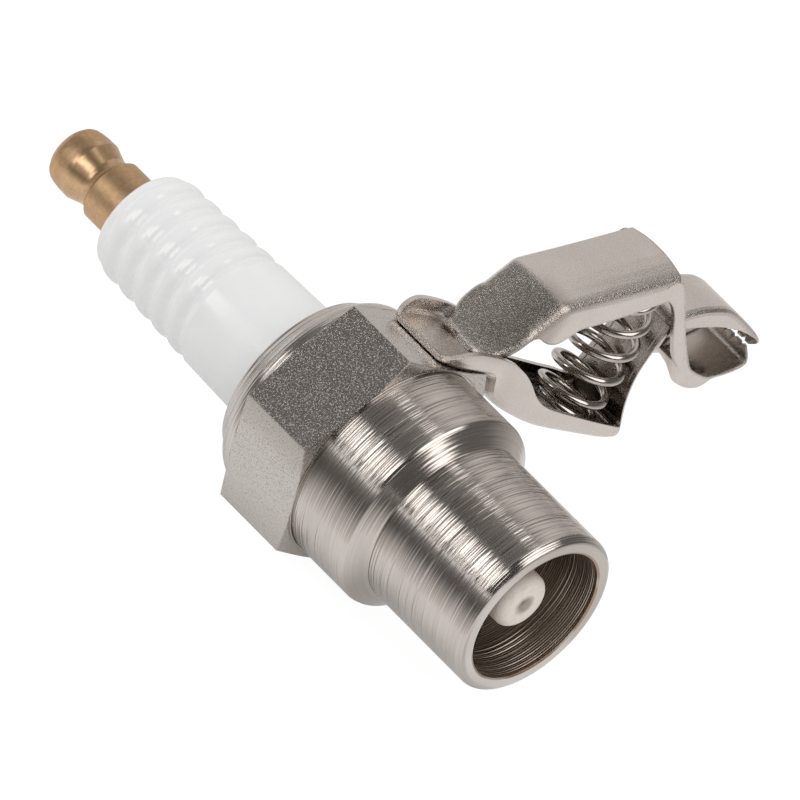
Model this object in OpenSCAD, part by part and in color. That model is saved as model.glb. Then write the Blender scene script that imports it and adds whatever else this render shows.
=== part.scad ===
// Spark plug tester: a plug with no side electrode and an earth clip welded to its hexagon.
// Millimetres. +X runs along the plug to its open mouth, +Z out of the hexagon flat that
// carries the clip. The origin is on the plug's axis, where the terminal sits on the insulator.

/* [Shell] */
// Hexagon, across its flats
hex_af = 20.8; // [19:0.1:24]
// Hexagon, length along the plug
hex_length = 8.15; // [7.6:0.05:12]
// Chamfer that rounds off the hexagon's corners at both ends
hex_chamfer = 0.2; // [0.1:0.05:0.4]
// Turned shoulder and collar behind the hexagon, length
collar_length = 3.15; // [2.6:0.05:5]
// Radius of the collar at its crimped end
collar_r = 8.75; // [8.6:0.01:9.6]
// Wall of the collar around the packing
collar_wall = 0.75; // [0.6:0.01:1.3]
// Thickness of the lip that is crimped over the packing
lip_thickness = 0.7; // [0.4:0.05:1.2]
// Barrel in front of the hexagon, radius
barrel_r = 10.18; // [9.6:0.01:10.3]
// Barrel, length from the hexagon to its cone
barrel_length = 6.97; // [5:0.01:12]
// Turned groove between the hexagon and the barrel, width
groove_width = 0.45; // [0.3:0.05:0.8]
// Turned groove, depth
groove_depth = 0.15; // [0.05:0.05:0.4]
// Cone between the barrel and the tube, length
cone_length = 1.51; // [0.8:0.01:3]
// Open tube at the mouth, outer radius
tube_r = 8.37; // [7.8:0.01:9.2]
// Open tube, length from the cone to the mouth
tube_length = 12.65; // [9:0.05:18]
// Wall of the open tube
tube_wall = 1.55; // [1:0.05:2]
// Rounding of the tube's outer edge at the mouth
rim_round = 0.65; // [0.2:0.05:0.9]
// Depth of the open bore from the mouth
bore_depth = 14; // [10:0.5:15]
// Radius of the inner web that the insulator's stem passes through
web_r = 4.65; // [4:0.05:5.5]

/* [Insulator] */
// Length that stands out of the collar
insulator_exposed = 22.9; // [21:0.1:30]
// Radius at the top edge
insulator_top_r = 5.45; // [5:0.05:5.8]
// Rounding of the top edge
insulator_top_round = 1.1; // [0.5:0.1:1.5]
// Number of ribs
rib_count = 5; // [3:1:6]
// Distance from one rib to the next
rib_pitch = 2.36; // [1.8:0.01:2.6]
// Depth of the valleys between the ribs
rib_depth = 0.3; // [0.1:0.01:0.5]
// Radius just in front of the ribs
insulator_body_r = 5.9; // [5.6:0.01:6.1]
// Radius where the insulator enters the collar
insulator_neck_r = 6.14; // [6:0.01:6.3]
// Length of the thick shoulder inside the shell
shoulder_length = 8.2; // [7.5:0.1:8.4]
// Nose in the open tube, radius
nose_r = 2.73; // [2.3:0.01:3.2]
// How far the nose's tip lies inside the mouth
nose_recess = 1.53; // [0.5:0.01:4]
// Rounding of the nose's tip
nose_round = 0.9; // [0.3:0.1:1.2]
// Hole in the nose's tip, radius
nose_hole_r = 0.75; // [0.6:0.05:1]
// Centre bore for the stud and the seals, radius
stud_bore_r = 2.1; // [1.8:0.05:2.3]
// Centre bore for the electrode, radius
electrode_bore_r = 1.35; // [1.1:0.05:1.6]

/* [Terminal] */
// Radius of the terminal's collar and head
terminal_r = 3.1; // [2.9:0.05:3.4]
// Length of the collar on the insulator
terminal_collar = 3.8; // [3:0.1:5]
// Radius of the neck between collar and head
terminal_neck_r = 2.6; // [2.45:0.05:2.8]
// Length from the insulator to the tip
terminal_length = 9.4; // [8.6:0.1:11]
// Length of the domed end
terminal_dome = 2.4; // [2:0.1:2.8]
// Radius of the flat tip
terminal_tip_r = 2.4; // [2.0:0.05:2.6]

/* [Inner pieces] */
// Gap around the inner pieces
fit_gap = 0.08; // [0.03:0.01:0.12]
// Gap between the insulator and the shell
insulator_gap = 0.15; // [0.08:0.01:0.25]
// Thickness of each packing ring
ring_thickness = 0.9; // [0.5:0.05:1.2]
// Thickness of the seat washer
washer_thickness = 0.35; // [0.2:0.05:0.6]
// Thread length of the stud inside the terminal
stud_thread = 6.2; // [4:0.1:7]
// Length of each glass seal
seal_length = 3; // [2:0.5:3.5]
// Length of the resistor
resistor_length = 7; // [5:0.5:8]
// Electrode head, length
electrode_head = 1.5; // [1:0.1:2]
// Thin tip of the electrode in the nose's hole, length
electrode_tip = 3.8; // [2:0.1:5]
// How far the electrode's tip lies inside the nose
electrode_recess = 2.2; // [1:0.1:4]
// Radius of the electrode's copper core
core_r = 0.6; // [0.4:0.05:0.8]

/* [Clip stampings] */
// Sheet thickness of both stampings
sheet = 0.5; // [0.35:0.05:0.6]
// Outer bend radius along the stampings' edges
bend_r = 1; // [0.8:0.05:1.2]
// Distance of the clip's middle behind the hexagon's front
clip_set_back = 3.85; // [3.85:0.05:4.2]
// Half width of the base channel
base_half = 4.25; // [4.2:0.05:4.3]
// Half width of the lever
lever_half = 3.85; // [3.75:0.05:3.9]
// Half width of the lever's foot edge between the channel's walls
foot_half = 2.85; // [2.4:0.05:3.1]
// Length of the pad that is welded to the flat, up to the hexagon's corner
pad_length = 6.95; // [6.5:0.05:8]
// Drop from the flat to the underside of the spring's seat
seat_drop = 4.6; // [4.4:0.1:4.9]
// Distance from the hexagon's corner to the neck
neck_reach = 22.9; // [22.5:0.1:24.5]
// Half width of the neck and of the upper jaw
neck_half = 2.7; // [2.4:0.05:2.75]
// Half width of the lower jaw
jaw_half = 3; // [2.8:0.05:3.2]
// Distance from the neck to the jaws' tips
jaw_reach = 14.3; // [13.8:0.05:15.5]
// Height of the upper jaw's crown above the flat
crown_height = 9.7; // [9.5:0.05:10.2]
// Number of notches across each jaw's tip
notch_count = 4; // [2:1:5]
// Depth of the notches
notch_depth = 0.4; // [0.2:0.05:0.6]

/* [Clip hinge and spring] */
// Gap under the lever's round foot edge
hinge_gap = 0.05; // [0.02:0.01:0.1]
// Half width of the foot's tongue
tongue_half = 1; // [0.8:0.1:1.4]
// Length of the tongue below the hinge axis
tongue_length = 0.75; // [0.65:0.05:0.9]
// Length of the two lips that the foot's edge is bent out to
foot_lip = 0.8; // [0.5:0.05:1]
// Gap between the tongue and its slot
slot_gap = 0.3; // [0.2:0.05:0.5]
// Spring wire, diameter
wire_d = 0.8; // [0.5:0.05:0.85]
// Spring, coil radius to the wire's middle at its seat
coil_r = 2.94; // [2.5:0.02:2.96]
// Spring, coil radius to the wire's middle under the lever
coil_top_r = 2.6; // [2.2:0.02:2.7]
// How far the spring stands off the clip's middle, toward the mouth
coil_offset = 0.2; // [0:0.05:0.2]
// Spring, turns
coil_turns = 5.6; // [5:0.1:7]
// Where the wire starts round the spring's axis, degrees
coil_start = -126; // [-180:2:180]
// Gap at each end of the spring
spring_gap = 0.25; // [0.1:0.05:0.3]

/* [Hidden] */
round_fn = 96;

// Places along the plug
collar_rear = insulator_exposed;
hex_rear = collar_rear + collar_length;
hex_front = hex_rear + hex_length;
barrel_front = hex_front + barrel_length;
tube_rear = barrel_front + cone_length;
mouth = tube_rear + tube_length;
bore_bottom = mouth - bore_depth;
nose_tip = mouth - nose_recess;

// Radii inside the shell
bore_r = tube_r - tube_wall;
chamber_r = collar_r - collar_wall;
shoulder_r = chamber_r - insulator_gap;
stem_r = web_r - insulator_gap;

// The packing lies between the crimped lip and the insulator's shoulder
talc_length = 2.3;
packing_rear = collar_rear + lip_thickness;
talc_rear = packing_rear + ring_thickness;
talc_front = talc_rear + talc_length;
shoulder_rear = talc_front + ring_thickness;
shoulder_front = shoulder_rear + shoulder_length;

// The conical seat between insulator and shell, with the washer on it
seat_slope = 0.9;
seat_rear = shoulder_front + washer_thickness;
function seat_x(r) = seat_rear + (chamber_r - r) * seat_slope;

// Pieces in the insulator's bore, from the front
hole_rear = nose_tip - electrode_recess - electrode_tip;
head_front = shoulder_front + 0.8;
head_rear = head_front - electrode_head;
lower_seal_rear = head_rear - seal_length;
resistor_rear = lower_seal_rear - resistor_length;
stud_front = resistor_rear - seal_length;

// The clip's own frame: its origin is on the corner between two flats, in the clip's middle
flat_z = hex_af / 2;
corner_y = flat_z * tan(30);
clip_x = hex_front - clip_set_back;

// The lever turns about its round foot edge, which stands on the channel's floor
foot_y = 0.2;
foot_z = sheet * 1.5 + hinge_gap;
foot_lean = 33.5;
foot_edge = sheet * 0.85;
foot_out = [-cos(foot_lean), sin(foot_lean)] * foot_edge / 2;
foot_lip_rise = 12;
rail = sheet + 0.05;

// Each station of a stamping is [web y, web z, edge y, edge z, half width], then, where they
// differ from 0 and bend_r, how far the web is dished towards its edges and its bends' radius.
// The web point is on the outer face of the sheet's back, the edge point where its side wall ends.
jaw_bend = 0.6;
function filled(s) = concat(s, len(s) < 6 ? [0] : [], len(s) < 7 ? [bend_r] : []);
neck_outer = neck_reach + sheet;
BASE = [
    [-pad_length, 0.1, -pad_length - 0.05, 0.1 + rail, base_half - 1.05],
    [-pad_length + 0.45, 0, -pad_length + 0.35, 0.75, base_half - 0.65],
    [-pad_length + 1.15, 0, -pad_length + 1.05, 1.25, base_half - 0.3],
    [-pad_length + 1.95, 0, -pad_length + 1.85, 1.75, base_half - 0.1],
    [-pad_length + 2.85, 0, -pad_length + 2.95, 2.1, base_half],
    [-pad_length + 4, 0, -pad_length + 4.2, 2.15, base_half],
    [-0.5, 0, -0.2, 2.05, base_half],
    [0.4, 0, 2, 1.75, base_half],
    [1.2, -1.2, 3.4, 1.35, base_half],
    [2, seat_drop * -0.48, 5, 0.75, base_half],
    [4, seat_drop * -0.65, 6.6, -0.1, base_half],
    [7, seat_drop * -0.81, 8.2, -1.15, base_half],
    [9.6, seat_drop * -0.91, 10.2, -2, base_half],
    [12.3, seat_drop * -0.98, 12.5, -2.35, base_half],
    [neck_outer - 3.6, -seat_drop, neck_outer - 4, -2.8, base_half],
    [neck_outer - 0.7, -seat_drop, neck_outer - 1.3, -2.9, base_half],
    [neck_outer + 0.85, -seat_drop + 0.2, neck_outer - 0.3, -3, base_half - 0.1],
    [neck_outer + 1.3, -seat_drop + 0.9, neck_outer + 0.3, -3, base_half - 0.25],
    [neck_outer + 0.85, -2.5, neck_outer + 0.85 - rail, -2.5, base_half - 0.65],
    [neck_outer + 0.3, -0.8, neck_outer + 0.3 - rail, -0.8, neck_half + 0.5],
    [neck_outer, 1.2, neck_outer - rail, 1.2, neck_half + 0.15],
    [neck_outer, 3, neck_outer - rail, 3, neck_half],
    [neck_outer, 7, neck_outer - rail, 7, neck_half]
];
jaw_tip = neck_reach + jaw_reach;
upper_lip_z = 6.35;
UPPER_JAW = [
    [neck_reach, 4.5, neck_reach + rail, 4.5, neck_half - 0.03],
    [neck_reach, 6.9, neck_reach + rail, 6.3, neck_half - 0.03],
    [neck_reach + 0.15, 7.75, neck_reach + 0.9, 6.75, neck_half, 0, jaw_bend],
    [neck_reach + 1.1, 8.3, neck_reach + 2, 7, neck_half, 0, jaw_bend],
    [neck_reach + 3.3, 9.15, neck_reach + 3.8, 7.35, neck_half, 0, jaw_bend],
    [neck_reach + 5.5, crown_height - 0.1, neck_reach + 5.7, 7.7, neck_half + 0.05, 0, jaw_bend],
    [neck_reach + 7.6, crown_height, neck_reach + 7.6, 7.9, neck_half + 0.05, 0, jaw_bend],
    [jaw_tip - 3.6, crown_height - 1, jaw_tip - 3.9, 7.9, neck_half + 0.15, 0, jaw_bend],
    [jaw_tip - 0.7, crown_height - 2.1, jaw_tip - 1.1, 7.35, neck_half + 0.3, 0, jaw_bend],
    [jaw_tip + 0.15, crown_height - 2.85, jaw_tip - 0.5, 6.9, neck_half + 0.3, 0, jaw_bend],
    [jaw_tip - 0.1, upper_lip_z, jaw_tip - 0.1 - rail, upper_lip_z, neck_half - 0.4]
];
// The thumb plate runs from its bend to its front edge
thumb_bend = [4.5, 7.8];
thumb_front = [neck_reach - 5, 12.9];
thumb_slope = (thumb_front[1] - thumb_bend[1]) / (thumb_front[0] - thumb_bend[0]);
function thumb_z(y) = thumb_bend[1] + (y - thumb_bend[0]) * thumb_slope;
foot_top = [foot_y, foot_z] + foot_out;
function foot_plate(u) = foot_top + (thumb_bend - foot_top) * u;
thumb_arch = -0.35;
LEVER = [
    [each foot_top, each [foot_y, foot_z] - foot_out * 1.2, foot_half],
    [each foot_plate(0.14), each foot_plate(0.14) - foot_out * 2.2, foot_half + 0.5],
    [each foot_plate(0.28), each foot_plate(0.28) - foot_out * 2.2, lever_half],
    [each foot_plate(0.58), each foot_plate(0.58) - foot_out * 2.2, lever_half],
    [each foot_plate(0.6), 5, 3.95, lever_half],
    [each foot_plate(0.74), 6.7, 4.1, lever_half],
    [each foot_plate(0.88), 7.75, 5.2, lever_half],
    [each foot_plate(1), 8.4, 6, lever_half, thumb_arch * 0.1],
    [5.6, thumb_z(5.6), 9.3, 6.3, lever_half, thumb_arch * 0.5],
    [12, thumb_z(12), 13.2, 7.9, lever_half, thumb_arch * 0.9],
    [each thumb_front, thumb_front[0] + 0.4, 10.3, lever_half, thumb_arch]
];
lower_lip_z = 6.05;
jaw_dish = 1.25;
LOWER_JAW = [
    [neck_reach + 3.5, 3.8, neck_reach + 4.6, 4.5, jaw_half + 0.1, 0, jaw_bend],
    [neck_reach + 4.8, 2.3, neck_reach + 5.9, 3.6, jaw_half + 0.05, jaw_dish * 0.5, jaw_bend],
    [neck_reach + 6.6, 1.3, neck_reach + 7.2, 3.15, jaw_half, jaw_dish, jaw_bend],
    [neck_reach + 9.2, 1, neck_reach + 9.1, 2.8, jaw_half, jaw_dish, jaw_bend],
    [neck_reach + 10.4, 1.6, neck_reach + 10, 2.8, jaw_half, jaw_dish * 0.5, jaw_bend],
    [jaw_tip - 3, 2.45, jaw_tip - 3.4, 3.05, jaw_half],
    [jaw_tip - 1.2, 3.3, jaw_tip - 1.6, 3.8, jaw_half + 0.05],
    [jaw_tip + 0.2, 4.45, jaw_tip - 0.35, 4.7, jaw_half + 0.1],
    [jaw_tip + 0.15, 5.3, jaw_tip - 0.4, 5.2, jaw_half - 0.1],
    [jaw_tip - 0.15, lower_lip_z, jaw_tip - 0.15 - rail, lower_lip_z - 0.1, jaw_half - 0.7]
];
// Each ear's station is [leading y, leading z, trailing y, trailing z, half width outside]
EAR = [
    [thumb_front[0] - 1.2, thumb_z(thumb_front[0] - 1.2) - 0.9, neck_reach - 6, 10, lever_half],
    [thumb_front[0] + 0.2, thumb_front[1] - 0.2, thumb_front[0] + 0.3, 10.3, lever_half],
    [neck_reach - 2.7, 10.8, neck_reach - 2.8, 9.3, lever_half],
    [neck_reach + 0.9, 7.4, neck_reach - 0.6, 7.1, lever_half - 0.2],
    [neck_reach + 4.1, 5.1, neck_reach + 2.8, 4.1, jaw_half + 0.3],
    [neck_reach + 6.3, 3.55, neck_reach + 5.6, 2.9, jaw_half],
    [neck_reach + 7.6, 2.95, neck_reach + 7.4, 2.45, jaw_half]
];

// The spring's middle line is a curve from its seat, square to the floor, to the thumb plate
seat_z = sheet - seat_drop + spring_gap + wire_d / 2;
spring_top_y = neck_reach - 6.5;
spring_head = (sheet + spring_gap + wire_d / 2) * sqrt(1 + thumb_slope * thumb_slope);
SPRING_LINE = [
    [neck_reach - 3.45, seat_z],
    [neck_reach - 3, 4.2],
    [spring_top_y, thumb_z(spring_top_y) - spring_head]
];

// Geometry helpers
module turned(outline) rotate([0, 90, 0]) rotate_extrude($fn = round_fn) polygon(outline);
module in_clip_frame() translate([clip_x, corner_y, flat_z]) children();
function arc(c, r, a0, a1, n) =
    [for (i = [0:n]) let (a = a0 + (a1 - a0) * i / n) [c[0] + r * cos(a), c[1] + r * sin(a)]];

// Corner cutting: each pass replaces every corner by two points on its sides
function cut_open(s) = [
    s[0],
    for (i = [0:len(s) - 2]) each [s[i] * 0.75 + s[i + 1] * 0.25, s[i] * 0.25 + s[i + 1] * 0.75],
    s[len(s) - 1]
];

// One channel section: the outer skin from edge to edge, then the inner skin the same way
corner_steps = 3;
function half_skin(web, edge, w, r, dish, belly) =
    let (d = (edge - web) / norm(edge - web)) [
        [w, edge],
        for (i = [0:corner_steps])
            let (a = 90 * i / corner_steps) [w - r * (1 - cos(a)), web + d * r * (1 - sin(a))],
        for (t = belly) [(w - r) * t, web + d * dish * (1 - t * t)]
    ];
function skin_points(half) = concat(
    [for (p = half) [-p[0], p[1][0], p[1][1]]],
    [for (i = [len(half) - 1:-1:0]) [half[i][0], half[i][1][0], half[i][1][1]]]
);
function channel_section(s, i, belly) =
    let (
        web = [s[i][0], s[i][1]],
        edge = [s[i][2], s[i][3]],
        ahead = s[min(i + 1, len(s) - 1)],
        behind = s[max(i - 1, 0)],
        run = [ahead[0] - behind[0], ahead[1] - behind[1]],
        depth = norm(edge - web),
        d = (edge - web) / depth,
        lean = abs(run[0] * d[1] - run[1] * d[0]) / norm(run),
        inner_web = web + d * min(sheet / lean, depth - 0.03),
        outer_r = min(s[i][6], depth - 0.02),
        inner_r = max(0.01, min(s[i][6] - sheet, norm(edge - inner_web) - 0.01))
    ) concat(
        skin_points(half_skin(web, edge, s[i][4], outer_r, s[i][5], belly)),
        skin_points(half_skin(inner_web, edge, s[i][4] - sheet, inner_r, s[i][5], belly))
    );

// A bent channel: the sections of its stations, joined by triangles. Side is 1 where the
// side walls stand to the left of the run and -1 where they stand to its right.
module channel(stations, side) {
    smooth = cut_open(cut_open([for (s = stations) filled(s)]));
    count = len(smooth);
    belly = max([for (s = smooth) abs(s[5])]) > 0 ? [0.65, 0.25] : [];
    skin_count = 2 * (corner_steps + 2 + len(belly));
    ring = 2 * skin_count;
    points = [for (i = [0:count - 1]) each channel_section(smooth, i, belly)];
    quads = [
        for (i = [0:count - 2], k = [0:skin_count - 2]) each [
            [i * ring + k, i * ring + k + 1, (i + 1) * ring + k + 1, (i + 1) * ring + k],
            [(i + 1) * ring + skin_count + k, (i + 1) * ring + skin_count + k + 1,
             i * ring + skin_count + k + 1, i * ring + skin_count + k]
        ],
        for (i = [0:count - 2]) each [
            [(i + 1) * ring, (i + 1) * ring + skin_count, i * ring + skin_count, i * ring],
            [i * ring + skin_count - 1, i * ring + ring - 1,
             (i + 1) * ring + ring - 1, (i + 1) * ring + skin_count - 1]
        ],
        for (k = [0:skin_count - 2]) each [
            [k + 1, k, skin_count + k, skin_count + k + 1],
            [for (j = [k, k + 1, skin_count + k + 1, skin_count + k]) (count - 1) * ring + j]
        ]
    ];
    faces = [for (q = quads) each [[q[0], q[1], q[2]], [q[0], q[2], q[3]]]];
    polyhedron(points, side > 0 ? faces : [for (f = faces) [f[2], f[1], f[0]]], convexity = 6);
}

// A flat strip that may twist and bend: four corners at each of its stations
module strip(stations, side) {
    smooth = cut_open(cut_open(stations));
    count = len(smooth);
    points = [
        for (s = smooth, x = [s[4], s[4] - sheet]) each [[side * x, s[0], s[1]], [side * x, s[2], s[3]]]
    ];
    loop = [0, 1, 3, 2];
    quads = [
        for (i = [0:count - 2], k = [0:3])
            let (a = loop[k], b = loop[(k + 1) % 4]) [4 * i + a, 4 * i + b, 4 * i + 4 + b, 4 * i + 4 + a],
        [loop[3], loop[2], loop[1], loop[0]],
        [for (k = loop) 4 * (count - 1) + k]
    ];
    faces = [for (q = quads) each [[q[0], q[1], q[2]], [q[0], q[2], q[3]]]];
    polyhedron(points, side < 0 ? faces : [for (f = faces) [f[2], f[1], f[0]]], convexity = 4);
}

// Notches across a jaw's tip, pointing up from the edge at height z, or down for way -1
module notches(y, z, half, way) {
    pitch = 2 * half / notch_count;
    for (i = [0:notch_count - 1])
        translate([-half + pitch * (i + 0.5), y, z])
            rotate([90, 0, 0])
                linear_extrude(3 * sheet, center = true)
                    polygon([
                        [-pitch * 0.35, -0.3 * way], [pitch * 0.35, -0.3 * way], [0, notch_depth * way]
                    ]);
}

// The brass nut that the plug lead is pushed onto
crest_end = terminal_dome - terminal_length;
crest_start = crest_end + 0.4;
neck_end = crest_start + 1.5;
dome_r = terminal_tip_r + 0.3;
nut_bottom = -stud_thread - 0.2;
module terminal_nut() {
    color([0.66, 0.52, 0.27])
        turned(concat(
            [[stud_bore_r, 0], [terminal_r, 0], [terminal_r, -terminal_collar]],
            [[terminal_neck_r + 0.15, -terminal_collar - 0.35], [terminal_neck_r, -terminal_collar - 0.9]],
            [[terminal_neck_r, neck_end], [terminal_r, crest_start], [terminal_r, crest_end]],
            [for (a = [20:20:80]) [
                dome_r + (terminal_r - dome_r) * cos(a),
                crest_end - (terminal_dome - 0.3) * sin(a)
            ]],
            [[terminal_tip_r, -terminal_length], [0, -terminal_length]],
            [[0, nut_bottom], [stud_bore_r, nut_bottom]]
        ));
}

// The steel stud that runs down the insulator to the upper seal
module terminal_stud() {
    r = stud_bore_r - fit_gap;
    color([0.62, 0.62, 0.6])
        turned([[0, -stud_thread], [r - 0.25, -stud_thread], [r, 0.25 - stud_thread],
                [r, stud_front - 0.4], [r - 0.4, stud_front], [0, stud_front]]);
}

// The glazed insulator: ribbed top, plain body, hidden shoulder and the nose in the mouth
ribs_rear = 1.02;
ribs_front = ribs_rear + rib_count * rib_pitch;
function rib_r(x) =
    insulator_top_r
    + (insulator_body_r - insulator_top_r) * (x - ribs_rear) / (ribs_front - ribs_rear)
    - rib_depth * pow(0.5 + 0.5 * cos(360 * (x - ribs_rear) / rib_pitch), 1.5);
module insulator() {
    top = insulator_top_round;
    color([0.95, 0.95, 0.93])
        turned(concat(
            [[stud_bore_r, 0]],
            arc([insulator_top_r - rib_depth - top, top], top, -90, -10, 6),
            [for (i = [0:8 * rib_count]) let (x = ribs_rear + i * rib_pitch / 8)
                if (x > top) [rib_r(x), x]],
            [[insulator_body_r, ribs_front + 0.8], [insulator_neck_r, collar_rear]],
            [[insulator_neck_r, shoulder_rear], [shoulder_r, shoulder_rear]],
            [[shoulder_r, seat_x(shoulder_r) - washer_thickness]],
            [[stem_r, seat_x(stem_r) - washer_thickness], [stem_r, bore_bottom + 0.3]],
            [[nose_r + 0.25, bore_bottom + 3.4], [nose_r, bore_bottom + 5]],
            arc([nose_r - nose_round, nose_tip - nose_round], nose_round, 0, 90, 6),
            [[nose_hole_r, nose_tip], [nose_hole_r, hole_rear]],
            [[electrode_bore_r, hole_rear], [electrode_bore_r, head_front]],
            [[stud_bore_r, head_front]]
        ));
}

// A plug of the insulator's bore between two places
module bore_plug(rear, front) {
    translate([rear, 0, 0])
        rotate([0, 90, 0])
            cylinder(r = stud_bore_r - fit_gap, h = front - rear, $fn = round_fn);
}

// Conductive glass that locks the stud in the insulator
module upper_glass_seal() {
    color([0.25, 0.27, 0.3]) bore_plug(stud_front, resistor_rear);
}

// Carbon suppressor between the two seals
module resistor() {
    color([0.12, 0.12, 0.13]) bore_plug(resistor_rear, lower_seal_rear);
}

// Conductive glass that holds the electrode's head
module lower_glass_seal() {
    color([0.25, 0.27, 0.3]) bore_plug(lower_seal_rear, head_rear);
}

// Nickel electrode with its head on the insulator's step and a hollow for the core
core_front = hole_rear - 1.5;
module centre_electrode() {
    head = stud_bore_r - fit_gap;
    body = electrode_bore_r - fit_gap;
    tip = nose_hole_r - fit_gap;
    color([0.55, 0.55, 0.54])
        turned([[core_r + fit_gap / 2, head_rear], [head, head_rear], [head, head_front],
                [body, head_front], [body, hole_rear], [tip, hole_rear],
                [tip, nose_tip - electrode_recess], [0, nose_tip - electrode_recess],
                [0, core_front], [core_r + fit_gap / 2, core_front]]);
}

// Copper core that carries heat out of the electrode
module electrode_core() {
    color([0.72, 0.45, 0.3])
        translate([head_rear, 0, 0])
            rotate([0, 90, 0])
                cylinder(r = core_r, h = core_front - head_rear, $fn = round_fn);
}

// The nickel-plated shell: collar, hexagon, barrel and open tube in one turned piece
module shell() {
    corner_r = flat_z / cos(30);
    shoulder_bend = flat_z - collar_r + 0.47;
    edge_break = 0.25;
    color([0.66, 0.64, 0.62])
        difference() {
            union() {
                turned(concat(
                    [[0, collar_rear], [collar_r, collar_rear]],
                    arc([flat_z - shoulder_bend, hex_rear - 0.3], shoulder_bend, -62, 0, 6),
                    [[flat_z, hex_rear + 0.1], [0, hex_rear + 0.1]]
                ));
                intersection() {
                    translate([hex_rear, 0, 0])
                        rotate([0, 90, 0])
                            rotate([0, 0, 30])
                                cylinder(r = corner_r, h = hex_length + hex_chamfer, $fn = 6);
                    turned([[0, hex_rear], [flat_z - 0.1, hex_rear],
                            [corner_r + 0.1, hex_rear + hex_chamfer],
                            [corner_r + 0.1, hex_front - hex_chamfer],
                            [barrel_r + 0.45, hex_front + hex_chamfer],
                            [0, hex_front + hex_chamfer]]);
                }
                turned(concat(
                    [[0, hex_front - 0.2], [barrel_r - groove_depth, hex_front - 0.2]],
                    [[barrel_r - groove_depth, hex_front + groove_width]],
                    [[barrel_r, hex_front + groove_width], [barrel_r, barrel_front - edge_break]],
                    [[barrel_r - edge_break / 2, barrel_front + edge_break / 2]],
                    [[tube_r, tube_rear]],
                    arc([tube_r - rim_round, mouth - rim_round], rim_round, 0, 90, 6),
                    [[0, mouth]]
                ));
            }
            turned([[0, collar_rear - 1], [insulator_neck_r + insulator_gap, collar_rear - 1],
                    [insulator_neck_r + insulator_gap, packing_rear], [chamber_r, packing_rear],
                    [chamber_r, seat_rear], [web_r, seat_x(web_r)], [web_r, bore_bottom],
                    [bore_r, bore_bottom], [bore_r, mouth - 0.12], [bore_r + 0.12, mouth],
                    [bore_r + 0.12, mouth + 1], [0, mouth + 1]]);
        }
}

// A ring between the insulator's neck and the collar's wall
module packing(rear, front, edge) {
    inner = insulator_neck_r + fit_gap;
    outer = chamber_r - fit_gap;
    turned([[inner + edge, rear], [outer - edge, rear], [outer, rear + edge], [outer, front - edge],
            [outer - edge, front], [inner + edge, front], [inner, front - edge], [inner, rear + edge]]);
}

// Steel ring under the crimped lip
module rear_packing_ring() {
    color([0.5, 0.5, 0.5]) packing(packing_rear, talc_rear, ring_thickness / 4);
}

// Pressed talc that seals the insulator in the shell
module talc_packing() {
    color([0.85, 0.84, 0.8]) packing(talc_rear, talc_front, 0.05);
}

// Steel ring on the insulator's shoulder
module front_packing_ring() {
    color([0.5, 0.5, 0.5]) packing(talc_front, shoulder_rear, ring_thickness / 4);
}

// Thin conical washer between the insulator's seat and the shell's
module seat_washer() {
    inner = web_r + 0.6;
    outer = chamber_r - 0.7;
    color([0.6, 0.58, 0.5])
        turned([[inner, seat_x(inner)], [outer, seat_x(outer)],
                [outer, seat_x(outer) - washer_thickness], [inner, seat_x(inner) - washer_thickness]]);
}

// Lower stamping: welded pad, channel with the spring's seat, neck and fixed upper jaw
module clip_base() {
    slot_front = foot_y + sheet / 2 + slot_gap;
    slot_rear = foot_y - tongue_length - sheet / 2 - slot_gap + 0.35;
    color([0.7, 0.68, 0.66])
        in_clip_frame()
            difference() {
                union() {
                    channel(BASE, 1);
                    channel(UPPER_JAW, -1);
                }
                translate([-tongue_half - slot_gap, slot_rear, -1])
                    cube([2 * (tongue_half + slot_gap), slot_front - slot_rear, sheet + 1.2]);
                notches(jaw_tip - sheet, upper_lip_z, neck_half - 0.65, 1);
            }
}

// One of the lips beside the tongue, bent out from the foot's round edge along the floor
module foot_lips(side) {
    inner = tongue_half + slot_gap;
    translate([side > 0 ? inner : -foot_half, foot_y, foot_z])
        rotate([-foot_lip_rise, 0, 0])
            translate([0, -foot_lip, -foot_edge / 2])
                cube([foot_half - inner, foot_lip, foot_edge]);
}

// Upper stamping: foot, thumb plate, ears past the neck and the moving lower jaw
module clip_lever() {
    color([0.72, 0.7, 0.68])
        in_clip_frame()
            difference() {
                union() {
                    channel(LEVER, -1);
                    channel(LOWER_JAW, 1);
                    for (side = [-1, 1]) {
                        strip(EAR, side);
                        foot_lips(side);
                    }
                    translate([-foot_half - 0.1, foot_y, foot_z])
                        rotate([0, 90, 0])
                            cylinder(d = sheet, h = 2 * foot_half + 0.2, $fn = 32);
                    translate([-tongue_half, foot_y, foot_z])
                        rotate([-foot_lean, 0, 0])
                            translate([0, -foot_edge / 2, -tongue_length])
                                cube([2 * tongue_half, foot_edge, tongue_length]);
                }
                notches(jaw_tip - sheet, lower_lip_z, jaw_half - 0.95, -1);
            }
}

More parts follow.
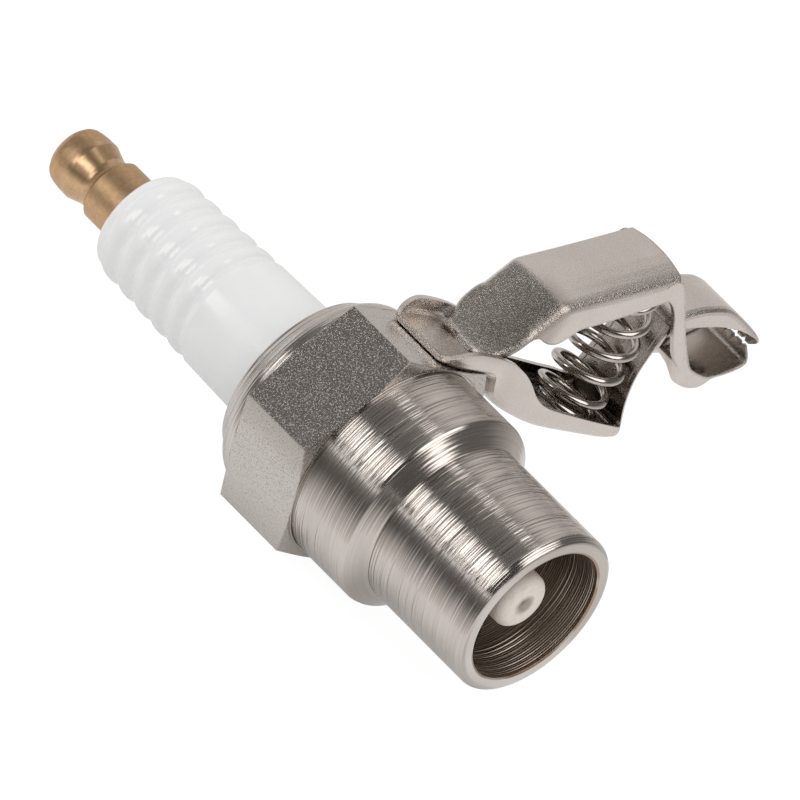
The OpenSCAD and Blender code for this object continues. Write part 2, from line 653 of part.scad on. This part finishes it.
// The compression spring as one tube: its radius and its pitch change towards the ends
curl_rings = 10;
wire_sides = 6;
function spring_line(u) =
    SPRING_LINE[0] * (1 - u) * (1 - u) + SPRING_LINE[1] * 2 * u * (1 - u) + SPRING_LINE[2] * u * u;
function spring_lean(u) =
    let (v = (SPRING_LINE[1] - SPRING_LINE[0]) * (1 - u) + (SPRING_LINE[2] - SPRING_LINE[1]) * u)
        v / norm(v);
function spring_climb(u) = u - 0.02 * sin(360 * u);
function coil_point(u) =
    let (
        h = spring_climb(u),
        c = spring_line(h),
        t = spring_lean(h),
        a = 360 * coil_turns * u + coil_start,
        r = coil_r + (coil_top_r - coil_r) * h * h
    ) [coil_offset + r * sin(a), c[0] - r * cos(a) * t[1], c[1] + r * cos(a) * t[0]];
spring_rings = coil_turns * curl_rings;
coil = [for (i = [0:spring_rings]) coil_point(i / spring_rings)];
function coil_ring(i) =
    let (
        along = coil[min(i + 1, spring_rings)] - coil[max(i - 1, 0)],
        w = along / norm(along),
        s = cross(w, [0, 0, 1]),
        side = s / norm(s),
        up = cross(side, w)
    ) [for (k = [0:wire_sides - 1]) let (a = 360 * k / wire_sides)
        coil[i] + (side * cos(a) + up * sin(a)) * wire_d / 2];
least_gap = min([
    for (i = [0:spring_rings - curl_rings / 2], k = [i + curl_rings / 2:spring_rings])
        norm(coil[i] - coil[k]) - wire_d
]);
echo("least gap between the spring's curls, mm", least_gap);
module clip_spring() {
    color([0.75, 0.74, 0.72])
        in_clip_frame()
            polyhedron(
                [for (i = [0:spring_rings]) each coil_ring(i)],
                [
                    for (i = [0:spring_rings - 1], k = [0:wire_sides - 1])
                        let (
                            a = i * wire_sides + k,
                            b = i * wire_sides + (k + 1) % wire_sides,
                            c = b + wire_sides,
                            d = a + wire_sides
                        ) each [[a, b, c], [a, c, d]],
                    for (k = [1:wire_sides - 2]) each [
                        [0, k + 1, k],
                        [for (j = [0, k, k + 1]) spring_rings * wire_sides + j]
                    ]
                ],
                convexity = 8
            );
}

terminal_nut();
terminal_stud();
insulator();
upper_glass_seal();
resistor();
lower_glass_seal();
centre_electrode();
electrode_core();
shell();
rear_packing_ring();
talc_packing();
front_packing_ring();
seat_washer();
clip_base();
clip_lever();
clip_spring();
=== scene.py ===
import math

import bpy
from mathutils import Matrix, Vector


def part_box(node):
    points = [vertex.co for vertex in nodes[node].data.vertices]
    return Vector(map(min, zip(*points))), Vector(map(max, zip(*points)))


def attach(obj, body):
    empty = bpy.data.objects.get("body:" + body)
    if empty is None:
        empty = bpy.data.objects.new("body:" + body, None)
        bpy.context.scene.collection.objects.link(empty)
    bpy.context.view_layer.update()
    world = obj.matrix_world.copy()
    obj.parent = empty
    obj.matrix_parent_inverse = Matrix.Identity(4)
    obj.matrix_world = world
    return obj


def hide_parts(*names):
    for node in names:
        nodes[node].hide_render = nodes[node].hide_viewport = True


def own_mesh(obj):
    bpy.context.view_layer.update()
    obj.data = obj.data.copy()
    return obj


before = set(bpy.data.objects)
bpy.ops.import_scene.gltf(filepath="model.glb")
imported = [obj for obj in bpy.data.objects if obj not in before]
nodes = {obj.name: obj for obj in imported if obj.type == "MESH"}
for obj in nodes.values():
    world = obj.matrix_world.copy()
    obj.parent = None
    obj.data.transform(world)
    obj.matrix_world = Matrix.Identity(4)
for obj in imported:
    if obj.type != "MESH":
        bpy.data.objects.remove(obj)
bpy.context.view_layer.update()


# The camera. It looks from the open mouth's end, from the side that the jaws point away from and
# a little from above, and is rolled so that the plug runs from the upper left to the lower right.
MM = 0.001
look_at = Vector((31.71, 0.34, 5.08)) * MM
to_right = Vector((0.621, 0.553, 0.556)).normalized()
to_camera = Vector((0.478, -0.829, 0.290))
to_camera = (to_camera - to_right * to_camera.dot(to_right)).normalized()
to_top = to_camera.cross(to_right)
distance = 2400 * MM
frame_width = 68.97 * MM
lens = bpy.data.cameras.new("studio_camera")
lens.sensor_width = 36
lens.lens = lens.sensor_width * distance / frame_width
lens.clip_start = 50 * MM
camera = bpy.data.objects.new("studio_camera", lens)
camera.matrix_world = Matrix.Translation(look_at + to_camera * distance) @ Matrix(
    (to_right, to_top, to_camera)).transposed().to_4x4()
bpy.context.scene.collection.objects.link(camera)
bpy.context.scene.camera = camera
bpy.context.scene.view_settings.view_transform = "Standard"


# The table and the white room. The table is a plain sheet of white card under the hexagon's
# lowest flat. The room is white to the camera and in reflections, and dimmer as a light.
class Wire:
    """One output of a node, with Python's operators for its maths."""

    def __init__(self, tree, node=None, out=0):
        self.tree = tree
        self.node = node
        self.out = out

    def add(self, kind, settings=None, inputs=None, out=0):
        """Adds any node to the same tree: its settings first, then its sockets."""
        node = self.tree.nodes.new(kind)
        for key, value in (settings or {}).items():
            if key == "stops":
                elements = node.color_ramp.elements
                while len(elements) < len(value):
                    elements.new(0.5)
                for element, (place, colour) in zip(elements, value):
                    element.position = place
                    element.color = (*colour, 1)
            else:
                setattr(node, key, value)
        made = Wire(self.tree, node, out)
        for key, value in (inputs or {}).items():
            if isinstance(value, Wire):
                value.drive(made, key)
            else:
                node.inputs[key].default_value = value
        return made

    def drive(self, other, socket):
        """Links this to a socket of the other wire's node."""
        self.tree.links.new(self.node.outputs[self.out], other.node.inputs[socket])

    def maths(self, operation, other=0.0, swap=False):
        pair = (other, self) if swap else (self, other)
        return self.add("ShaderNodeMath", {"operation": operation}, dict(enumerate(pair)))

    def __add__(self, other):
        return self.maths("ADD", other)

    def __radd__(self, other):
        return self.maths("ADD", other, swap=True)

    def __sub__(self, other):
        return self.maths("SUBTRACT", other)

    def __rsub__(self, other):
        return self.maths("SUBTRACT", other, swap=True)

    def __mul__(self, other):
        return self.maths("MULTIPLY", other)

    def __rmul__(self, other):
        return self.maths("MULTIPLY", other, swap=True)

    def __truediv__(self, other):
        return self.maths("DIVIDE", other)

    def __rtruediv__(self, other):
        return self.maths("DIVIDE", other, swap=True)

    def step(self, low, high):
        """0 below low, 1 above high, smooth between; the other way round if high is lower."""
        if low > high:
            return 1 - self.step(high, low)
        return self.add("ShaderNodeMapRange", {"interpolation_type": "SMOOTHSTEP"},
                        {"Value": self, "From Min": low, "From Max": high})

    def band(self, low, full_from, full_to, high):
        """0 up to low, 1 from full_from to full_to, 0 again from high on."""
        return self.step(low, full_from) * self.step(high, full_to)

    def blend(self, low, high):
        """The colour low where this is 0, and high where it is 1."""
        first, second = [c if isinstance(c, Wire) else (*c, 1) for c in (low, high)]
        return self.add("ShaderNodeMix", {"data_type": "RGBA"},
                        {"Factor": self, 6: first, 7: second}, out=2)

    def noise(self, scale, detail=2.0, rough=0.5):
        """Noise over this vector, 0 to 1."""
        return self.add("ShaderNodeTexNoise", {},
                        {"Vector": self, "Scale": scale, "Detail": detail, "Roughness": rough})

    def split(self):
        """This vector's x, y and z."""
        return [self.add("ShaderNodeSeparateXYZ", {}, {0: self}, out=k) for k in range(3)]


def cleared(owner, output):
    """Empties the node tree of a material or world but for its output, and returns that."""
    owner.use_nodes = True
    owner.node_tree.nodes.clear()
    return Wire(owner.node_tree).add(output)


def ray_kinds(wire):
    """1 for a ray from the camera, off gloss and through glass in turn, and 0 for others."""
    return [wire.add("ShaderNodeLightPath", out=f"Is {kind} Ray")
            for kind in ("Camera", "Glossy", "Transmission")]


def build(name, points, faces, material):
    """A new object in the scene, with one material."""
    mesh = bpy.data.meshes.new(name)
    mesh.from_pydata(points, [], faces)
    mesh.materials.append(material)
    made = bpy.data.objects.new(name, mesh)
    bpy.context.scene.collection.objects.link(made)
    return made


floor_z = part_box("shell")[0][2]
reach = 3.0
one_face = [(0, 1, 2, 3)]
white_card = bpy.data.materials.new("white_card")
table = build("table_card", [(-reach, -reach, floor_z), (reach, -reach, floor_z),
                             (reach, reach, floor_z), (-reach, reach, floor_z)],
              one_face, white_card)
output = cleared(white_card, "ShaderNodeOutputMaterial")
matt = output.add("ShaderNodeBsdfDiffuse", {}, {"Color": (0.8, 0.8, 0.8, 1)})
glow = output.add("ShaderNodeEmission", {}, {"Color": (1, 1, 1, 1), "Strength": 1.12})
seen, mirrored, passed = ray_kinds(output)
from_plug = output.add("ShaderNodeTexCoord", out="Object").split()[1].maths("ABSOLUTE")
clear_of_painted_shadow = from_plug.step(3.5 * MM, 9.5 * MM)
# The card glows most to the camera. Metal sees it darker under the plug than beside it: partly
# the real shadow on its matt part, and partly a painted shadow, as less glow is mixed in there.
share = 0.2 + seen * 0.65 + mirrored * (0.1 + clear_of_painted_shadow * 0.41) + passed * 0.6
output.add("ShaderNodeMixShader", {}, {"Fac": share, 1: matt, 2: glow}).drive(output, "Surface")

room = bpy.data.worlds.new("white_room")
bpy.context.scene.world = room
output = cleared(room, "ShaderNodeOutputWorld")
seen, mirrored, passed = ray_kinds(output)
as_light = 0.72
strength = as_light + (seen + mirrored + passed).maths("MINIMUM", 1.0) * (1 - as_light)
sky = output.add("ShaderNodeBackground", {}, {"Color": (1, 1, 1, 1), "Strength": strength})
sky.drive(output, "Surface")


# The lamps, and the cards that the plated metal mirrors. A half tube of grey card lies along the
# plug, pale on the side that the jaws point to and dark on the other, with a window behind the
# terminal, two small panes by the plug and a soft patch beyond the mouth. Two strips lie just
# above the table, and one card stands before the mouth.
def lamp(name, place, size, power):
    """A soft box turned to the plug, which reflections don't see."""
    light = bpy.data.lights.new(name, "AREA")
    light.shape = "RECTANGLE"
    light.size, light.size_y = size
    light.energy = power
    made = bpy.data.objects.new(name, light)
    made.location = place
    made.rotation_euler = (look_at - Vector(place)).to_track_quat("-Z", "Y").to_euler()
    made.visible_glossy = False
    bpy.context.scene.collection.objects.link(made)


def flag(name, points, faces, colour=(1, 1, 1)):
    """A card that only reflections see. Returns its glow, whose colour may be driven."""
    paint = bpy.data.materials.new(name)
    output = cleared(paint, "ShaderNodeOutputMaterial")
    glow = output.add("ShaderNodeEmission", {}, {"Color": (*colour, 1)})
    glow.drive(output, "Surface")
    card = build(name, points, faces, paint)
    for ray in ("camera", "diffuse", "transmission", "volume_scatter", "shadow"):
        setattr(card, "visible_" + ray, False)
    return glow


def ramp(wire, tones):
    """A warm grey for each value of the wire, from pairs of a value and its tone."""
    low, high = tones[0][0], tones[-1][0]
    stops = [((at - low) / (high - low), (t, t * 0.97, t * 0.94)) for at, t in tones]
    return wire.add("ShaderNodeValToRGB", {"stops": stops}, {"Fac": (wire - low) / (high - low)})


lamp("lamp_top", (-0.25, -0.35, 0.6), (0.5, 0.5), 1.3)
lamp("lamp_mouth", (0.75, 0.1, 0.45), (0.35, 0.25), 0.55)

card_r, card_half = 0.5, 1.6
far_edge, near_edge = -22, 184
rim = [math.radians(a) for a in range(far_edge, near_edge + 1, 2)]
points = [(x, card_r * math.cos(a), card_r * math.sin(a))
          for a in rim for x in (-card_half, card_half)]
faces = [(2 * i, 2 * i + 1, 2 * i + 3, 2 * i + 2) for i in range(len(rim) - 1)]
glow = flag("grey_surround", points, faces)
x, y, z = glow.add("ShaderNodeTexCoord", out="Object").split()
angle = z.maths("ARCTAN2", y) * (180 / math.pi)
behind = ramp(angle, (
    (far_edge, 0.66), (3, 0.72), (31, 0.7), (43, 0.56), (50, 0.58), (59, 0.74), (73, 0.8),
    (84, 0.66), (93, 0.38), (102, 0.3), (120, 0.22), (140, 0.18), (152, 0.22), (near_edge, 0.3)))
ahead = ramp(angle, (
    (far_edge, 0.62), (10, 0.58), (24, 0.36), (38, 0.17), (70, 0.15), (100, 0.25),
    (133, 0.05), (near_edge, 0.03)))
surround = x.step(-0.12, 0.03).blend(behind, ahead)
patch = angle.band(70, 77, 121, 128) * x.step(0.13, 0.22)
window = angle.band(147, 159, 176, 192) * x.band(-0.36, -0.33, -0.22, -0.19)
side_pane = angle.band(144, 149, 168, 173) * x.step(0.12, 0.1)
top_pane = angle.band(98, 101, 110, 113) * x.step(0.03, 0.01) * 0.75
panes = x.step(-0.09, -0.07) * (side_pane + top_pane)
with_patch = patch.blend(surround, (2.2, 2.15, 2.1))
with_window = window.blend(with_patch, (3.0, 2.96, 2.9))
panes.blend(with_window, (3.4, 3.35, 3.3)).drive(glow, "Color")


def low_strip(name, x_from, x_to, y_from, y_to, colour=(1, 1, 1)):
    """A card that lies just above the table."""
    low_z = floor_z + 0.3 * MM
    return flag(name, [(x_from, y_from, low_z), (x_to, y_from, low_z), (x_to, y_to, low_z),
                       (x_from, y_to, low_z)], one_face, colour)


strip_far, strip_near = -0.12, -0.012
glow = low_strip("dark_strip", -0.3, 0.3, strip_far, strip_near)
y = glow.add("ShaderNodeTexCoord", out="Object").split()[1]
ramp(y, ((strip_far, 0.45), (-0.07, 0.3), (-0.045, 0.16), (-0.03, 0.12), (-0.022, 0.28),
         (-0.016, 0.6), (strip_near, 0.86))).drive(glow, "Color")
low_strip("grey_strip", -0.3, 0.6, 0.03, 1.0, (0.82, 0.805, 0.79))

flag_x, flag_top = 0.35, 0.15
flag("flag_mouth", [(flag_x, -0.4, floor_z), (flag_x, 0.1, floor_z), (flag_x, 0.1, flag_top),
                    (flag_x, -0.4, flag_top)], one_face, (0.12, 0.112, 0.105))


# The terminal: a turned brass nut, gone dull and brown with handling, but still bright on the
# taper behind its head. It is screwed on the stud that comes out of the insulator.
def finish(name, **fixed):
    """A new material, its shader with the fixed values on its own sockets, and the place on
    the part in millimetres."""
    made = bpy.data.materials.new(name)
    output = cleared(made, "ShaderNodeOutputMaterial")
    values = {key.replace("_", " "): value for key, value in fixed.items()}
    shader = output.add("ShaderNodeBsdfPrincipled", {}, values)
    shader.drive(output, "Surface")
    metres = output.add("ShaderNodeTexCoord", out="Object")
    place = output.add("ShaderNodeVectorMath", {"operation": "SCALE"},
                       {0: metres, "Scale": 1 / MM})
    return made, shader, place


def from_axis(place):
    """The distance from the plug's axis."""
    _, y, z = place.split()
    return (y * y + z * z).maths("SQRT")


def tool_marks(place, along, around, detail):
    """Noise that is drawn out round the plug's axis: its scales along the axis and around."""
    x, y, z = place.split()
    radius = from_axis(place)
    marks = place.add("ShaderNodeCombineXYZ", {}, {
        "X": x * along, "Y": y / radius * around, "Z": z / radius * around})
    return marks.noise(1.0, detail)


def bump(shader, height, depth, edge_r=0.0):
    """Relief of that depth in millimetres on the shader's normal, over edges of that radius."""
    inputs = {"Strength": 1.0, "Distance": depth * MM, "Height": height}
    if edge_r:
        inputs["Normal"] = height.add("ShaderNodeBevel", {"samples": 4}, {"Radius": edge_r * MM})
    height.add("ShaderNodeBump", {}, inputs).drive(shader, "Normal")


def dress(node, made):
    nodes[node].data.materials.clear()
    nodes[node].data.materials.append(made)


made, shader, place = finish("dull_brass", Metallic=1.0, Coat_Roughness=0.08)
stain = place.noise(2.6, 4.0, 0.7)
turning = tool_marks(place, along=5.0, around=0.4, detail=2.0)
tarnish = (stain * 0.8 + turning * 0.2).step(0.3, 0.75)
tarnish.blend((0.68, 0.455, 0.265), (0.53, 0.345, 0.195)).drive(shader, "Base Color")
taper = place.split()[0].band(-7.15, -6.95, -4.7, -4.3)
(0.42 + stain * 0.06 - taper * 0.14).drive(shader, "Roughness")
(taper * 0.15).drive(shader, "Coat Weight")
bump(shader, turning + stain * 0.3, 0.006, edge_r=0.08)
dress("terminal_nut", made)


# The stud, the two packing rings and the seat washer: plain steel, turned or stamped. The stud
# holds the terminal, and the rings and the washer seat the insulator in the shell.
def plain_finish(name, grain, dark, pale, roughness, spread=0.0, **fixed):
    """A finish of two colours and a roughness that only its grain varies."""
    made, shader, place = finish(name, Roughness=roughness, **fixed)
    cloud = place.noise(*grain)
    cloud.blend(dark, pale).drive(shader, "Base Color")
    if spread:
        (roughness + cloud * spread).drive(shader, "Roughness")
    return made


steel = plain_finish("plain_steel", (3.0, 3.0), (0.55, 0.55, 0.54), (0.66, 0.66, 0.64),
                     roughness=0.35, spread=0.2, Metallic=1.0)
for node in ("terminal_stud", "rear_packing_ring", "front_packing_ring", "seat_washer"):
    dress(node, steel)


# The insulator: alumina, ground to its ribs and steps before firing. The part that stands out has
# a clear glaze, which gleams on the ribs, and the nose is bare, matte and cream, with a few
# scorched spots and a dimple at its hole.
made, shader, place = finish("white_glaze", Specular_IOR_Level=0.1, Coat_Roughness=0.06)
x = place.split()[0]
nose = x.step(40.0, 41.0)
ribs = x.step(17.5, 14.0)
cloud = place.noise(0.5, 3.0)
dimple = from_axis(place).step(1.15, 0.45) * x.step(53.0, 53.1)
# The nose is darker and browner in the scorched spots and in the dimple round its hole.
scorch_and_dimple = place.noise(1.6, 4.0, 0.6).step(0.45, 0.75) * 0.5 + dimple * 0.3
glazed = cloud.blend((0.86, 0.86, 0.86), (0.9, 0.9, 0.895))
bare = scorch_and_dimple.blend((0.86, 0.79, 0.72), (0.66, 0.56, 0.47))
nose.blend(glazed, bare).drive(shader, "Base Color")
(0.16 + cloud * 0.06 + nose * 0.5).drive(shader, "Roughness")
((1 - nose) * (0.02 + ribs * 0.78)).drive(shader, "Coat Weight")
bump(shader, place.noise(2.5, 3.0) * 0.04 - dimple, 0.5)
dress("insulator", made)


# The two seals and the resistor: glass powder with metal in it, melted in above and below the
# pressed plug of glass and carbon that keeps the spark from disturbing a radio.
seal = plain_finish("seal_glass", (2.0, 3.0), (0.05, 0.055, 0.06), (0.09, 0.09, 0.1),
                    roughness=0.3)
dress("upper_glass_seal", seal)
dress("lower_glass_seal", seal)
dress("resistor", plain_finish("resistor_mix", (4.0, 4.0), (0.02, 0.02, 0.02),
                               (0.05, 0.05, 0.05), roughness=0.8))


# The centre electrode and its core: nickel alloy drawn round a copper rod, which leads the heat
# away. Its head is held in the lower seal.
dress("centre_electrode", plain_finish(
    "electrode_nickel", (3.0, 3.0), (0.4, 0.39, 0.37), (0.55, 0.53, 0.5),
    roughness=0.35, spread=0.2, Metallic=1.0))
dress("electrode_core", plain_finish(
    "core_copper", (3.0, 3.0), (0.72, 0.38, 0.24), (0.82, 0.48, 0.32),
    roughness=0.3, spread=0.2, Metallic=1.0))


# The talc packing: powder pressed tight between the two packing rings when the shell's lip is
# crimped, so that no gas passes the insulator.
dress("talc_packing", plain_finish("pressed_talc", (4.0, 4.0), (0.8, 0.79, 0.75),
                                   (0.88, 0.87, 0.84), roughness=0.9))


# The shell: hexagon bar turned down to a collar behind and to the barrel and tube in front, then
# nickel plated. The tool marks run round it, with fine rings in the bore and a little rust just
# inside its mouth. The hexagon's flats are blasted and sparkle.
made, shader, place = finish("turned_nickel", Metallic=1.0)
x = place.split()[0]
radius = from_axis(place)
flats = radius.step(10.3, 10.38) * x.band(25.9, 26.0, 34.4, 34.5)
cone = x.band(41.0, 41.3, 42.6, 42.9)
bore = radius.step(6.95, 6.85) * x.step(41.0, 41.2)
lip = radius.step(7.9, 8.8) * x.step(54.5, 55.7)
rust = radius.step(7.07, 7.0) * x.step(54.7, 55.2) * place.noise(0.2, 1.0).step(0.4, 0.5)
grooves = tool_marks(place, along=3.2, around=0.12, detail=1.0)
hairs = tool_marks(place, along=9.0, around=0.5, detail=1.0)
cloud = tool_marks(place, along=0.6, around=1.2, detail=3.0)
sparkle = place.noise(8.0, 1.0).step(0.56, 0.74)
rings = (x * 28.0 + cloud * 0.7).maths("SINE") * 0.5 + 0.5
turned_tone = (hairs * 0.5 + cloud * 0.5).step(0.35, 0.65).blend(
    (0.54, 0.495, 0.46), (0.61, 0.565, 0.525))
flat_tone = place.noise(5.0, 2.0).step(0.35, 0.7).blend((0.54, 0.5, 0.47), (0.57, 0.53, 0.5))
bore_tone = (hairs * 0.25 + rings * 0.75).step(0.2, 0.85).blend(
    (0.3, 0.245, 0.205), (0.68, 0.6, 0.53))
plated = bore.blend(flats.blend(turned_tone, flat_tone), bore_tone)
(rust * 0.8).blend(plated, (0.3, 0.19, 0.13)).drive(shader, "Base Color")
(0.12 + hairs * 0.06 + flats * (sparkle * 0.3 + 0.01) + bore * 0.25).drive(shader, "Roughness")
turned_relief = (1 - flats) * (1 - cone * 0.7) * (grooves * 1.7 + hairs * 0.45)
relief = turned_relief + flats * sparkle * 0.3 + bore * rings * 0.2 - lip * 6.0
bump(shader, relief, 0.09, edge_r=0.15)
dress("shell", made)


# The two stampings of the clip: 0.5 mm spring steel, blanked, bent and tumbled, with a satin
# nickel plate that is speckled in the light. Its colour holds painted shade: dark brown in its
# hollows, and darker on part of the lever's foot plate. The base is spot welded to a flat, and
# the lever stands on the base's floor with its foot.
for node, bend_r in (("clip_base", 0.12), ("clip_lever", 0.42)):
    made, shader, place = finish("satin_nickel_" + node, Metallic=1.0)
    x, y, z = place.split()
    speck = place.noise(8.5, 2.0, 0.6)
    cloud = place.noise(0.35, 3.0)
    # Painted shade: the colour goes dark brown in the hollows beyond the foot, where ambient
    # occlusion finds little open air.
    openness = place.add("ShaderNodeAmbientOcclusion", {"samples": 6}, {"Distance": 9.0 * MM},
                         out=1)
    shaded_hollow = y.step(6.0, 10.0) * (1 - openness.step(0.15, 0.95))
    # Painted shade: part of the lever's foot plate, towards larger x, is darkened in its colour
    # too.
    foot = z.step(11.5, 13.0) * y.step(12.5, 10.5) * x.step(27.5, 33.0)
    painted_shade = shaded_hollow + (1 - shaded_hollow) * foot * 0.45
    plate = (speck * 0.7 + cloud * 0.3).step(0.38, 0.62).blend(
        (0.66, 0.605, 0.565), (0.73, 0.675, 0.635))
    painted_shade.blend(plate, (0.24, 0.2, 0.17)).drive(shader, "Base Color")
    (0.1 + speck.step(0.43, 0.64) * (1 - shaded_hollow) * 0.19).drive(shader, "Roughness")
    bump(shader, speck * (1 - shaded_hollow * 0.7), 0.034, edge_r=bend_r)
    dress(node, made)


# The spring: bright drawn wire, coiled cold, with its lowest turn closed. It stands on the
# base's floor and presses the thumb plate up, and its axis bends over towards the plate.
clip_corner = Vector((30.35, 6.0044, 10.4))
foot, bow, head = Vector((0, 19.45, -3.45)), Vector((0, 19.9, 4.2)), Vector((0, 16.4, 11.0986))
wire_r, coil_foot_r, coil_head_r, coil_offset = 0.4, 2.94, 2.6, 0.2
coil_turns, coil_start = 6.3, -378
closed_turn, closed_bend = 0.7, 0.35
steps_a_turn, wire_sides = 40, 14


def climb(turn):
    """How far the wire has climbed: almost flat up to the closed turn, and steady after it."""
    return turn - closed_turn + math.hypot(turn - closed_turn, closed_bend)


def coil_point(u):
    """The middle of the wire, from 0 at its lower end to 1 at its upper one."""
    h = (climb(coil_turns * u) - climb(0)) / (climb(coil_turns) - climb(0))
    middle = foot * (1 - h) ** 2 + bow * 2 * h * (1 - h) + head * h * h
    lean = ((bow - foot) * (1 - h) + (head - bow) * h).normalized()
    r = coil_foot_r + (coil_head_r - coil_foot_r) * h * h
    turn = math.radians(360 * coil_turns * u + coil_start)
    sideways = Vector((coil_offset + r * math.sin(turn), 0, 0))
    across = Vector((0, -lean.z, lean.y)) * r * math.cos(turn)
    return clip_corner + middle + sideways + across


steps = round(coil_turns * steps_a_turn)
path = [coil_point(i / steps) for i in range(steps + 1)]
points, faces = [], []
for i, centre in enumerate(path):
    along = (path[min(i + 1, steps)] - path[max(i - 1, 0)]).normalized()
    side = along.cross(Vector((0, 0, 1))).normalized()
    up = side.cross(along)
    for k in range(wire_sides):
        turn = 2 * math.pi * k / wire_sides
        points.append((centre + (side * math.cos(turn) + up * math.sin(turn)) * wire_r) * MM)
        if i < steps:
            after = (k + 1) % wire_sides
            faces.append((i * wire_sides + k, i * wire_sides + after,
                          (i + 1) * wire_sides + after, (i + 1) * wire_sides + k))
faces.append(tuple(reversed(range(wire_sides))))
faces.append(tuple(range(steps * wire_sides, (steps + 1) * wire_sides)))
bright_wire = plain_finish("bright_wire", (3.0, 3.0), (0.4, 0.365, 0.335), (0.6, 0.56, 0.52),
                           roughness=0.1, spread=0.08, Metallic=1.0)
spring = build("coil_spring", points, faces, bright_wire)
spring.data.polygons.foreach_set("use_smooth", [len(face) == 4 for face in faces])
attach(spring, "plug")
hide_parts("clip_spring")
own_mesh(spring)
